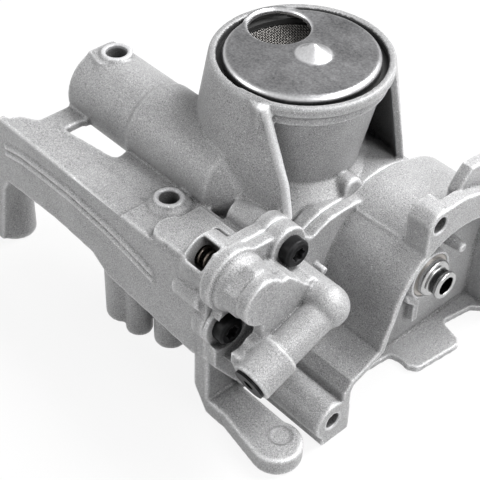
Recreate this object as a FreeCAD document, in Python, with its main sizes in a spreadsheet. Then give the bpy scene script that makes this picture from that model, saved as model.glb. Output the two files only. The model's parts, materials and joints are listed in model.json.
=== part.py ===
import FreeCAD, Part
import Sketcher
import math
import os
import re

# Engine oil pump, stored upside down as it stands on a bench: the mounting plane is at
# the bottom and the strainer cup points up. The origin is the centre of the drive
# shaft's free end. +X runs along the shaft, out of its free end, and +Z is up.

os.makedirs("parts", exist_ok=True)
doc = FreeCAD.newDocument("oil_pump")
Vector = FreeCAD.Vector
Rotation = FreeCAD.Rotation

# Driving sizes in millimetres, degrees where the name says turn or rise
SIZES = {
    # Main planes, measured from the shaft's free end and its axis
    "seat_drop": 40,
    "joint_depth": 38,
    "rim_reach": 2,
    "hood_floor": 15,
    "chamber_floor": 18,
    # Drive shaft and its bushes
    "tip_radius": 6,
    "tip_bore_radius": 3.9,
    "tip_bore_depth": 18,
    "tip_length": 1.6,
    "neck_radius": 5.4,
    "collar_depth": 5,
    "journal_radius": 8,
    "journal_chamfer": 0.7,
    "shaft_length": 60,
    "shaft_end_gap": 1,
    "bush_wall": 1.5,
    "bush_length": 16,
    "bush_recess": 0.6,
    "running_gap": 0.03,
    "hub_radius": 10.7,
    "hub_face": 7.6,
    # Rotor set
    "ring_radius": 26.5,
    "ring_gap": 0.08,
    "rotor_side_gap": 0.04,
    "rotor_offset": 2.6,
    "lobe_circle": 22.5,
    "lobe_radius": 6,
    "lobe_gap": 0.06,
    "rotor_bore_gap": 0.02,
    "key_radius": 2,
    "key_length": 22,
    "key_depth": 24,
    "key_gap": 0.05,
    # Hood round the sprocket
    "hood_radius": 34,
    "hood_wide_radius": 31,
    "hood_wide_y": 11,
    "hood_wall": 2.8,
    "flare_wall": 2.8,
    "plate_thickness": 3,
    "lug_hole_radius": 3.4,
    "lug_hole_depth": 22,
    "lug_one_y": 60.6,
    "lug_one_z": 29.3,
    "lug_radius": 8.3,
    "lug_two_y": 13.5,
    "lug_two_z": 39.7,
    "lug_two_radius": 5.8,
    "lug_two_depth": 11,
    "rim_depth": 6,
    "lug_three_y": 19,
    "lug_three_z": 38,
    "peg_radius": 3.2,
    "peg_end_radius": 2,
    "peg_end": 2.5,
    # Joint flanges
    "cover_flange": 5,
    "rear_flange": 6,
    "boss_radius": 8.5,
    # Control valve
    "control_y": 79,
    "control_z": 29,
    "control_bore": 7,
    "control_seat": 22,
    "control_collar": 13,
    "control_step": 10.6,
    "control_waist": 9.3,
    "control_end": 9.5,
    "web_face": 18,
    "web_thickness": 5,
    "piston_gap": 0.04,
    "piston_length": 8,
    "piston_wall": 1.2,
    "piston_crown": 3,
    "spring_radius": 3.3,
    "spring_wire": 0.7,
    "spring_pitch": 3,
    "control_depth": 64,
    "window_near": 40.5,
    "window_length": 9.2,
    "window_half": 5.2,
    "window_slant": 34,
    "spring_bore": 4.3,
    "pad_top": 34.2,
    "seat_one_rise": 2,
    "seat_two_drop": 3,
    "elbow_radius": 8.3,
    # Oil gallery across the cover
    "gallery_radius": 6.8,
    "gallery_depth": 12.5,
    "gallery_mouth": 12,
    "drilling_radius": 4.4,
    "drilling_plug": 5,
    "gallery_y": 78.8,
    "gallery_z": 5.7,
    "gallery_length": 27,
    "gallery_rise": 20.9,
    "gallery_end": 7.3,
    # Cover screws
    "screw_one_y": 55.5,
    "screw_one_z": 31.5,
    "screw_two_y": 81.8,
    "screw_two_z": 6.4,
    "screw_three_y": 47,
    "screw_three_z": 16,
    "head_radius": 5.6,
    "head_length": 5,
    "head_chamfer": 0.9,
    "socket_radius": 3,
    "socket_depth": 2.6,
    "shank_radius": 3,
    "shank_length": 19,
    # Hollow dowels of the joint
    "dowel_radius": 3.5,
    "dowel_bore": 2.4,
    "dowel_length": 8,
    "dowel_gap": 0.2,
    "dowel_one_y": 65,
    "dowel_one_z": 27,
    "dowel_two_y": 38,
    "dowel_two_z": 2,
    # Pump body behind the joint
    "body_radius": 33,
    "body_end": 100,
    "block_half": 26,
    # Strainer cup
    "cup_x": 69,
    "cup_y": 15,
    "cup_top": 76.5,
    "rim_radius": 34.3,
    "rim_height": 4.4,
    "band_radius": 32.6,
    "band_height": 4.4,
    "cup_radius": 30.5,
    "cup_foot_radius": 24,
    "cup_foot": 36,
    "shoulder_radius": 40,
    "shoulder_foot": 20,
    "cup_wall": 3.6,
    "seat_radius": 31.4,
    "seat_depth": 5.5,
    "shroud_wall": 3,
    "shroud_foot_radius": 43.3,
    "shroud_foot": 22,
    # Strainer cap, screen and seal
    "cap_radius": 29.3,
    "cap_sheet": 1.2,
    "cap_rise": 1.2,
    "cap_round": 1.1,
    "hole_x": 86.6,
    "hole_y": 9.8,
    "hole_radius": 11.6,
    "lip_radius": 0.8,
    "dimple_x": 64.9,
    "dimple_y": 13.6,
    "dimple_radius": 6.8,
    "dimple_height": 4.4,
    "screen_radius": 30.4,
    "screen_sheet": 0.6,
    "screen_dish": 4,
    "screen_flat": 22,
    "seal_height": 1.6,
    "seal_width": 3.2,
    # Delivery tube and its bolt boss
    "tube_y": 46,
    "tube_z": 35,
    "tube_radius": 16.7,
    "tube_inset": 9,
    "seam_inset": 46.7,
    "tube_swell": 0.7,
    "neck_start": 68,
    "neck_end": 57,
    "bolt_radius": 4.3,
    "bolt_wall": 2.1,
    "ring_height": 1.4,
    "boss_one_inset": 18,
    "boss_one_y": 44,
    "boss_one_top": 53,
    "boss_one_seat": 16.5,
    "pad_height": 4,
    # Side frame
    "frame_reach": 160,
    "plate_top": 31,
    "plate_sheet": 3.5,
    "wall_y": 89,
    "wall_sheet": 3.2,
    "ridge_height": 1.4,
    "ridge_width": 1.5,
    "boss_two_x": 77.7,
    "boss_two_y": 71.5,
    "boss_two_bore": 3.9,
    "boss_two_top": 34.4,
    "boss_four_x": 78,
    "boss_four_y": 40,
    "boss_four_top": -10,
    # Strut and foot
    "strut_thickness": 7.8,
    "strut_side": 87.4,
    "foot_thickness": 8,
    "foot_x": 6.6,
    "foot_y": 81,
    "foot_radius": 9.9,
    "foot_turn": 9.7,
    "foot_reach": 42,
    "foot_side": 72.3,
    # Relief valve
    "relief_y": 8,
    "relief_z": 24,
    "relief_radius": 6.6,
    "relief_seat": 72,
    "relief_port_radius": 3,
    "relief_piston_length": 9,
    "relief_spring_radius": 4.3,
    "relief_plug_depth": 9,
    "plug_hex": 9.5,
    "plug_head": 6,
    "washer_radius": 10,
    "washer_thickness": 1.5,
    # Ports
    "port_x": 58,
    "port_y": 15,
    "port_radius": 8,
    "duct_z": 5,
}

sheet = doc.addObject("Spreadsheet::Sheet", "Sizes")
for row, (alias, number) in enumerate(SIZES.items(), start=1):
    sheet.set(f"A{row}", alias)
    sheet.set(f"B{row}", str(number))
    sheet.setAlias(f"B{row}", alias)
doc.recompute()


def size(alias):
    """The number that the sheet holds for one size."""
    return float(sheet.get(alias))


def rule(formula):
    """A formula in names of sizes, as an expression that reads the sheet."""
    return re.sub(r"[a-z][a-z_]*[a-z]", lambda m: "Sizes." + m[0] if m[0] in SIZES else m[0], str(formula))


def bind(thing, prop, formula):
    thing.setExpression(prop, rule(formula))


# Planes that many pieces share
JOINT = "-joint_depth"
RIM = "rim_reach"
SEAT = "-seat_drop"
COVER_FACE = "-joint_depth + cover_flange"
REAR_FACE = "-joint_depth - rear_flange"
CHAMBER = "-chamber_floor"
BODY_END = "-body_end"
PLATE_TOP = "plate_top"
PAST = 1

ALONG = {
    "X": Rotation(Vector(0, 1, 0), 90),
    "Y": Rotation(Vector(1, 0, 0), -90),
    "Z": Rotation(),
}
DRAWN = {
    "X": Rotation(Vector(0, 1, 0), Vector(0, 0, 1), Vector(1, 0, 0), "XYZ"),
    "Y": Rotation(Vector(1, 0, 0), 90),
    "Z": Rotation(),
}
TOWARDS = {"X": Vector(1, 0, 0), "Y": Vector(0, 1, 0), "Z": Vector(0, 0, 1)}


def base_at(thing, axis, across, low):
    """Binds the base point: low along the axis, the pair across it."""
    first, second = across
    spot = {"X": (low, first, second), "Y": (first, low, second), "Z": (first, second, low)}[axis]
    for letter, formula in zip("xyz", spot):
        bind(thing, "Placement.Base." + letter, formula)


def box(name, x, y, z):
    thing = doc.addObject("Part::Box", name)
    for prop, (low, high) in zip(("Length", "Width", "Height"), (x, y, z)):
        bind(thing, prop, f"({high}) - ({low})")
    base_at(thing, "X", (y[0], z[0]), x[0])
    return thing


def rod(name, axis, across, span, radius):
    thing = doc.addObject("Part::Cylinder", name)
    thing.Placement = FreeCAD.Placement(Vector(), ALONG[axis])
    bind(thing, "Radius", radius)
    bind(thing, "Height", f"({span[1]}) - ({span[0]})")
    base_at(thing, axis, across, span[0])
    return thing


def taper(name, axis, across, span, radii):
    thing = doc.addObject("Part::Cone", name)
    thing.Placement = FreeCAD.Placement(Vector(), ALONG[axis])
    bind(thing, "Radius1", radii[0])
    bind(thing, "Radius2", radii[1])
    bind(thing, "Height", f"({span[1]}) - ({span[0]})")
    base_at(thing, axis, across, span[0])
    return thing


def outline_sketch(sketch, outline):
    """Draws a closed outline and ties each corner to the sheet."""
    corners = len(outline)
    for first in range(corners):
        start = Vector(10 * math.cos(first), 10 * math.sin(first), 0)
        end = Vector(10 * math.cos(first + 1), 10 * math.sin(first + 1), 0)
        sketch.addGeometry(Part.LineSegment(start, end), False)
    for first in range(corners):
        sketch.addConstraint(Sketcher.Constraint("Coincident", first, 2, (first + 1) % corners, 1))
    for corner, (across, up) in enumerate(outline):
        for kind, formula in (("DistanceX", across), ("DistanceY", up)):
            spot = sketch.addConstraint(Sketcher.Constraint(kind, -1, 1, corner, 1, 1.0))
            bind(sketch, f"Constraints[{spot}]", formula)


def prism(name, axis, outline, span):
    """An outline, drawn across the axis, pushed from the low to the high end of the span."""
    sketch = doc.addObject("Sketcher::SketchObject", name + "_outline")
    sketch.Placement = FreeCAD.Placement(Vector(), DRAWN[axis])
    outline_sketch(sketch, outline)
    bind(sketch, "Placement.Base." + axis.lower(), span[0])
    thing = doc.addObject("Part::Extrusion", name)
    thing.Base = sketch
    thing.DirMode = "Custom"
    thing.Dir = TOWARDS[axis]
    thing.Solid = True
    bind(thing, "LengthFwd", f"({span[1]}) - ({span[0]})")
    return thing


def ball(name, spot, radius):
    thing = doc.addObject("Part::Sphere", name)
    bind(thing, "Radius", radius)
    base_at(thing, "X", (spot[1], spot[2]), spot[0])
    return thing


def fuse(name, things):
    thing = doc.addObject("Part::MultiFuse", name)
    thing.Shapes = things
    thing.Refine = True
    return thing


def cut(name, base, tools):
    thing = doc.addObject("Part::Cut", name)
    thing.Base = base
    thing.Tool = fuse(name + "_tools", tools) if len(tools) > 1 else tools[0]
    thing.Refine = True
    return thing


def common(name, first, second):
    thing = doc.addObject("Part::Common", name)
    thing.Base = first
    thing.Tool = second
    return thing


def turned(label, outline, across=("0", "0"), start="0"):
    """A body turned about X: the outline holds pairs of place along X and radius."""
    body = doc.addObject("PartDesign::Body", label)
    sketch = body.newObject("Sketcher::SketchObject", label + "_profile")
    plane = next(f for f in body.Origin.OriginFeatures if f.Role == "XY_Plane")
    sketch.AttachmentSupport = (plane, [""])
    sketch.MapMode = "FlatFace"
    outline_sketch(sketch, outline)
    turn = body.newObject("PartDesign::Revolution", label + "_turned")
    turn.Profile = sketch
    turn.ReferenceAxis = (sketch, ["H_Axis"])
    turn.Angle = 360
    base_at(body, "X", across, start)
    body.Label = label
    return body


sub_parts = []


def finish(thing, label):
    thing.Label = label
    sub_parts.append(thing)
    return thing


# Joint flange, with one outline that both castings share

JOINT_CORNERS = [
    ("-84", "39.5"),
    ("-57", "38"),
    ("-45.5", "30"),
    ("-41.5", "26.5"),
    ("-38", "28.4"),
    ("-31.7", "30.4"),
    ("-24.7", "30.6"),
    ("0", "30"),
    ("30", "17"),
    ("dowel_two_y + 4", "-dowel_two_z + 6"),
    ("screw_three_y + 6", "-screw_three_z"),
    ("dowel_two_y + 3", SEAT),
    ("-lug_one_y - 2", SEAT),
    ("-69", "-36"),
    ("-88", "-9.5"),
    ("-89", "8"),
    ("-84", "20"),
]
SCREWS = {
    "one": ("-screw_one_y", "screw_one_z"),
    "two": ("-screw_two_y", "screw_two_z"),
    "three": ("screw_three_y", "-screw_three_z"),
}
SEAT_PLANES = {
    "one": f"{COVER_FACE} + seat_one_rise",
    "two": f"{COVER_FACE} - seat_two_drop",
    "three": f"{COVER_FACE} + seat_one_rise",
}
DOWELS = {
    "one": ("-dowel_one_y", "-dowel_one_z"),
    "two": ("dowel_two_y", "-dowel_two_z"),
}
CONTROL = ("-control_y", "control_z")
RING = ("0", "-rotor_offset")


def flange(name, span):
    pieces = [prism(name + "_plate", "X", JOINT_CORNERS, span)]
    for key, across in SCREWS.items():
        pieces.append(rod(f"{name}_screw_{key}", "X", across, span, "boss_radius"))
    return pieces


# Front cover: the sprocket hood with its lugs, the control valve's end and the gallery

FLARE_OUTSIDE = [
    ("0", "20"),
    ("-33", "6"),
    ("-36", "-1"),
    ("-38", "-8"),
    ("-46", "-12"),
    ("-52", "-14"),
    ("-55.6", "-18.5"),
    ("-56.5", "-26"),
    ("-54", SEAT),
    ("39.5", SEAT),
    ("39.5", "-12"),
    ("38", "4"),
]
FLARE_INSIDE = [
    ("0", "15"),
    ("-30.5", "6"),
    ("-33.4 + flare_wall - 2.8", "-2"),
    ("-35.2 + flare_wall - 2.8", "-9.6"),
    ("-45 + flare_wall - 2.8", "-12 - flare_wall"),
    ("-50.6", "-14 - flare_wall"),
    ("-52", "-20"),
    ("-51.5", "-27"),
    ("-51.5", "-seat_drop - 1"),
    ("39.5 - flare_wall", "-seat_drop - 1"),
    ("39.5 - flare_wall", "-12"),
    ("35", "4"),
]
BOTTOM_PLATE = [
    ("-joint_depth", "-36"),
    ("-13", "-38"),
    ("-12.4", "-29"),
    ("-11.2", "-13.8"),
    ("-7.4", "-12.7"),
    ("-2.2", "-13.2"),
    ("1.4", "-10.7"),
    ("3.5", "11.3"),
    ("1.1", "13.5"),
    ("-8.2", "15.7"),
    ("-9.2", "18.1"),
    ("-7.2", "31.7"),
    ("-2", "37"),
    ("-joint_depth", "37"),
]
LUG_TWO_BLOCK = [
    ("-lug_two_y - 5.8", "20"),
    ("-lug_two_y - 5.8", "lug_two_z + 2"),
    ("-lug_two_y", "lug_two_z + lug_two_radius"),
    ("-lug_two_y + 5", "lug_two_z + lug_two_radius - 0.3"),
    ("-3", "38"),
    ("0", "30"),
]
TOP_RIM = [
    ("-lug_two_y - 5.8", "20"),
    ("-lug_two_y - 5.8", "lug_two_z + 2"),
    ("-lug_two_y", "lug_two_z + lug_two_radius"),
    ("-lug_two_y + 5", "lug_two_z + lug_two_radius - 0.3"),
    ("0", "lug_two_z + lug_two_radius - 0.5"),
    ("7", "43.2"),
    ("lug_three_y + 4", "lug_three_z"),
    ("33", "16"),
    ("26", "20"),
    ("0", "32"),
]
EAR = [
    ("1", "30"),
    ("1", "43.5"),
    ("4", "48"),
    ("7.6", "51.6"),
    ("lug_three_y + 2", "50.5"),
    ("lug_three_y + 9", "43"),
    ("32", "20"),
]
WEB_CORNERS = [
    ("-control_y - 7.4", "control_z - 6"),
    ("-control_y - 1.8", "20.5"),
    ("-control_y - 0.5", "12.4"),
    ("-85.5", "9"),
    ("-90.2", "8.8"),
    ("-90.2", "4"),
    ("-78", "3"),
    ("-68", "8"),
    ("-55", "14"),
    ("-53", "20"),
    ("-68", "34.5"),
    ("-control_y", "control_z + 5"),
]


def gallery_rod(name, radius, start, length):
    """A cylinder on the gallery's slanted axis; start runs up the slope."""
    thing = doc.addObject("Part::Cylinder", name)
    thing.Placement = FreeCAD.Placement(Vector(), Rotation(Vector(-1, 0, 0), 90 - size("gallery_rise")))
    bind(thing, "Placement.Rotation.Angle", "(90 - gallery_rise) * 1 deg")
    bind(thing, "Radius", radius)
    bind(thing, "Height", length)
    spot = gallery_spot(start)
    base_at(thing, "X", (spot[1], spot[2]), spot[0])
    return thing


def gallery_spot(along):
    """A point on the gallery's axis."""
    return (
        "-gallery_depth",
        f"-gallery_y + ({along}) * cos(gallery_rise * 1 deg)",
        f"gallery_z + ({along}) * sin(gallery_rise * 1 deg)",
    )


def wide_barrel(name, span, radius, wide_radius):
    """The hood's barrel: two round ends and the flat between them over the top."""
    lean = f"(({radius}) - ({wide_radius})) / hood_wide_y"
    rise = f"sqrt(1 - ({lean}) ^ 2)"
    return [
        rod(name + "_barrel", "X", ("0", "0"), span, radius),
        rod(name + "_wide", "X", ("hood_wide_y", "0"), span, wide_radius),
        prism(name + "_top", "X", [
            ("0", "0"),
            ("hood_wide_y", "0"),
            (f"hood_wide_y + ({wide_radius}) * {lean}", f"({wide_radius}) * {rise}"),
            (f"({radius}) * {lean}", f"({radius}) * {rise}"),
        ], span),
    ]


def cover_solid():
    hood = [
        *wide_barrel("hood", (JOINT, RIM), "hood_radius", "hood_wide_radius"),
        prism("hood_flare", "X", FLARE_OUTSIDE, (JOINT, RIM)),
        prism("top_rim", "X", TOP_RIM, ("rim_reach - rim_depth", RIM)),
        prism("lug_two_block", "X", LUG_TWO_BLOCK, ("rim_reach - lug_two_depth", RIM)),
        prism("ear", "X", EAR, ("rim_reach - rim_depth - 4", "rim_reach - rim_depth + 1")),
        rod("lug_one", "X", ("-lug_one_y", "-lug_one_z"), (JOINT, RIM), "lug_radius"),
        box("lug_one_foot", (JOINT, RIM), ("-lug_one_y - 5", "-lug_one_y + 9"), (SEAT, "-lug_one_z")),
        rod("lug_two", "X", ("-lug_two_y", "lug_two_z"), ("rim_reach - lug_two_depth", RIM), "lug_two_radius"),
    ]
    valve = [
        rod("control_flange", "X", CONTROL, (JOINT, COVER_FACE), "control_collar"),
        rod("control_step", "X", CONTROL, (JOINT, "-joint_depth + 7"), "control_step + 0.9"),
        taper("control_cone", "X", CONTROL, ("-joint_depth + 7", "-joint_depth + 11"), ("control_step + 0.9", "control_waist")),
        rod("control_neck", "X", CONTROL, (JOINT, "-web_face - 2"), "control_waist - 0.4"),
        rod("control_end", "X", CONTROL, ("-web_face - web_thickness", "-web_face"), "control_end"),
        prism("web", "X", WEB_CORNERS, ("-web_face - web_thickness", "-web_face")),
        prism("web_root", "X", [
            ("-69", "4"),
            ("-56", "10"),
            ("-50", "22"),
            ("-62", "30"),
            ("-72", "34"),
            ("-74", "22"),
            ("-70", "16"),
        ], (JOINT, "-web_face - 1")),
    ]
    gallery = [
        gallery_rod("gallery_barrel", "gallery_radius", "0", "gallery_length"),
        gallery_rod("gallery_low_end", "gallery_end + 0.8", "-gallery_mouth", "gallery_mouth + 3"),
        ball("gallery_high_end", gallery_spot("gallery_length"), "elbow_radius"),
        rod("gallery_elbow", "X", gallery_spot("gallery_length")[1:], (JOINT, "-gallery_depth"), "elbow_radius"),
        prism("gallery_block", "X", [
            ("-90", "4"),
            ("-85.8", "-9"),
            ("-82", "-13.5"),
            ("-73", "-9"),
            ("-69", "-1"),
            ("-77", "13"),
            ("-83", "11"),
        ], ("-web_face - web_thickness", "-gallery_depth - 3")),
        prism("gallery_root", "X", [
            ("-84", "-6"),
            ("-78", "-13"),
            ("-50", "2"),
            ("-46", "6"),
            ("-47", "17"),
            ("-53", "20"),
            ("-66", "2"),
            ("-76", "-3"),
        ], (JOINT, "-gallery_depth - 5")),
        rod("flange_peg", "X", ("-38.5", "11.5"), (JOINT, "-web_face - 10"), "1.6"),
    ]
    screw_seat = [
        rod("seat_one", "X", SCREWS["one"], (JOINT, f"{COVER_FACE} + seat_one_rise"), "boss_radius"),
        rod("seat_three", "X", SCREWS["three"], (JOINT, f"{COVER_FACE} + seat_one_rise"), "boss_radius"),
    ]
    outside = fuse("cover_outside", flange("cover_flange", (JOINT, COVER_FACE)) + hood + valve + gallery + screw_seat)
    hood_space = [
        *wide_barrel("hood_inside", ("-hood_floor", "rim_reach + 1"), "hood_radius - hood_wall", "hood_wide_radius - hood_wall"),
        prism("flare_inside", "X", FLARE_INSIDE, ("-hood_floor", "rim_reach + 1")),
    ]
    opened = cut("cover_opened", outside, hood_space)
    fitted = fuse("cover_fitted", [
        opened,
        rod("hub", "X", ("0", "0"), ("-hood_floor - 1", "-hub_face"), "hub_radius"),
        taper("peg", "X", ("10.5", "11.5"), ("-hood_floor - 1", "-peg_end"), ("peg_radius", "peg_end_radius")),
        prism("peg_rib", "X", [("4", "8"), ("9", "13"), ("11", "11"), ("6", "6")], ("-hood_floor - 1", "-hood_floor + 3")),
        prism("floor_rib", "X", [
            ("-9", "-8"),
            ("-7.4", "-13.2"),
            ("-3", "-17"),
            ("-3", "-26"),
            ("0", "-26"),
            ("0", "-16"),
            ("-4", "-11"),
            ("-6", "-6"),
        ], ("-hood_floor - 1", "-hood_floor + 4")),
        prism("bottom_plate", "Z", BOTTOM_PLATE, (SEAT, "-seat_drop + plate_thickness")),
    ])
    holes = [
        rod("chamber", "X", RING, ("-joint_depth - 1", CHAMBER), "ring_radius + ring_gap"),
        rod("hub_bore", "X", ("0", "0"), ("-chamber_floor - 1", "-hub_face + 1"), "journal_radius + bush_wall"),
        rod("control_bore", "X", CONTROL, ("-joint_depth - 1", "-control_seat"), "control_bore"),
        rod("lug_one_hole", "X", ("-lug_one_y", "-lug_one_z"), ("rim_reach - lug_hole_depth", "rim_reach + 1"), "lug_hole_radius"),
        rod("lug_two_hole", "X", ("-lug_two_y", "lug_two_z"), ("rim_reach - lug_two_depth - 1", "rim_reach + 1"), "lug_hole_radius"),
        rod("screw_two_pocket", "X", SCREWS["two"], (f"{COVER_FACE} - seat_two_drop", "-web_face - web_thickness"), "boss_radius"),
        prism("screw_two_clear", "X", [
            ("-78", "14"),
            ("-72", "9"),
            ("-70", "4"),
            ("-76", "0"),
            ("-82", "-2"),
            ("-95", "2"),
            ("-95", "14"),
        ], (COVER_FACE, "-web_face - web_thickness - 2")),
        rod("screw_one_pocket", "X", SCREWS["one"], (f"{COVER_FACE} + seat_one_rise", "0"), "head_radius + 1.2"),
    ]
    holes.append(gallery_rod("gallery_drilling", "drilling_radius", "-gallery_mouth - 1", "gallery_mouth + 21"))
    for key, across in SCREWS.items():
        holes.append(rod(f"cover_hole_{key}", "X", across, ("-joint_depth - 1", "-joint_depth + 8"), "shank_radius + 0.3"))
    for key, across in DOWELS.items():
        reach = "-joint_depth + dowel_length / 2 + dowel_gap"
        holes.append(rod(f"cover_dowel_{key}", "X", across, ("-joint_depth - 1", reach), "dowel_radius"))
    return cut("cover", fitted, holes)


finish(cover_solid(), "front_cover")

# Rear housing: pump body, strainer cup, delivery tube, side frame, strut and foot

PLATE_OUTLINE = [
    ("-frame_reach", "-wall_y"),
    ("-frame_reach + 2.6", "-81.3"),
    ("-frame_reach + 9.5", "-77.4"),
    ("-frame_reach + tube_inset + 1", "-56"),
    ("-frame_reach + 22", "-56"),
    ("-frame_reach + 22", "-66"),
    ("-frame_reach + 46", "-66"),
    ("-frame_reach + 48", "-62"),
    ("-44", "-62"),
    ("-44", "-66"),
    ("-44", "-wall_y + 3"),
    ("-83", "-wall_y + 3.2"),
    ("-frame_reach + 33", "-wall_y"),
]
SLOT = [
    ("-frame_reach + 21.1", "-73.2"),
    ("-frame_reach + 21.1", "-64"),
    ("-frame_reach + 47.5", "-64"),
    ("-frame_reach + 48.4", "-68.4"),
    ("-frame_reach + 46.6", "-69.9"),
]
WALL_OUTLINE = [
    ("-frame_reach - 2", PLATE_TOP),
    ("-frame_reach - 16", "4"),
    ("-frame_reach - 18", "-20"),
    ("-frame_reach - 11", "-20"),
    ("-frame_reach", "-1"),
    ("-frame_reach + 32", "0.6"),
    ("-frame_reach + 56", "-1"),
    ("-95", "-7"),
    ("-44", "-10.7"),
    ("-44", "plate_top"),
]
RIDGE_DROPS = (0, 3.6)


def cup_cylinder(name, span, radius):
    return rod(name, "Z", ("-cup_x", "-cup_y"), span, radius)


def cup_cone(name, span, radii):
    return taper(name, "Z", ("-cup_x", "-cup_y"), span, radii)


def shroud():
    """The curved wall behind the cup: a cone's shell with its front cut away."""
    span = ("shroud_foot", "cup_top")
    skin = cut("shroud_shell", cup_cone("shroud_outside", span, ("shroud_foot_radius", "rim_radius")), [
        cup_cone("shroud_inside", span, ("shroud_foot_radius - shroud_wall", "rim_radius - shroud_wall")),
    ])
    levels = (
        (20, ((-69, -15), (-38.4, -46.7), (0, -80), (20, -15), (0, 60), (-37, 19))),
        (45, ((-69, -15), (-42, -47.2), (-14, -87), (34, -31), (21, 53), (-36, 14))),
        (90, ((-69, -15), (-59.9, -49.8), (-40, -100), (60, -60), (60, 40), (-34, 5))),
    )
    sections = []
    for number, (height, corners) in enumerate(levels):
        section = doc.addObject("Sketcher::SketchObject", f"shroud_gap_{number}")
        outline_sketch(section, [(f"{x}", f"{y}") for x, y in corners])
        section.Placement.Base = Vector(0, 0, height)
        sections.append(section)
    gap = doc.addObject("Part::Loft", "shroud_gap")
    gap.Sections = sections
    gap.Solid = True
    gap.Ruled = True
    return cut("shroud", skin, [gap, box("shroud_face", (JOINT, "0"), ("-80", "50"), ("0", "cup_foot + 1"))])


def spring_window():
    """The opening over the control spring, cut through the house wall at a slant."""
    window = doc.addObject("Part::Box", "spring_window")
    window.Placement = FreeCAD.Placement(Vector(), Rotation(Vector(1, 0, 0), size("window_slant")))
    bind(window, "Placement.Rotation.Angle", "window_slant * 1 deg")
    bind(window, "Length", "window_length")
    bind(window, "Width", "2 * window_half")
    bind(window, "Height", "20")
    bind(window, "Placement.Base.x", "-window_near - window_length")
    bind(window, "Placement.Base.y", "-control_y - window_half * cos(window_slant * 1 deg)")
    bind(window, "Placement.Base.z", "control_z - window_half * sin(window_slant * 1 deg)")
    return window


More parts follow.
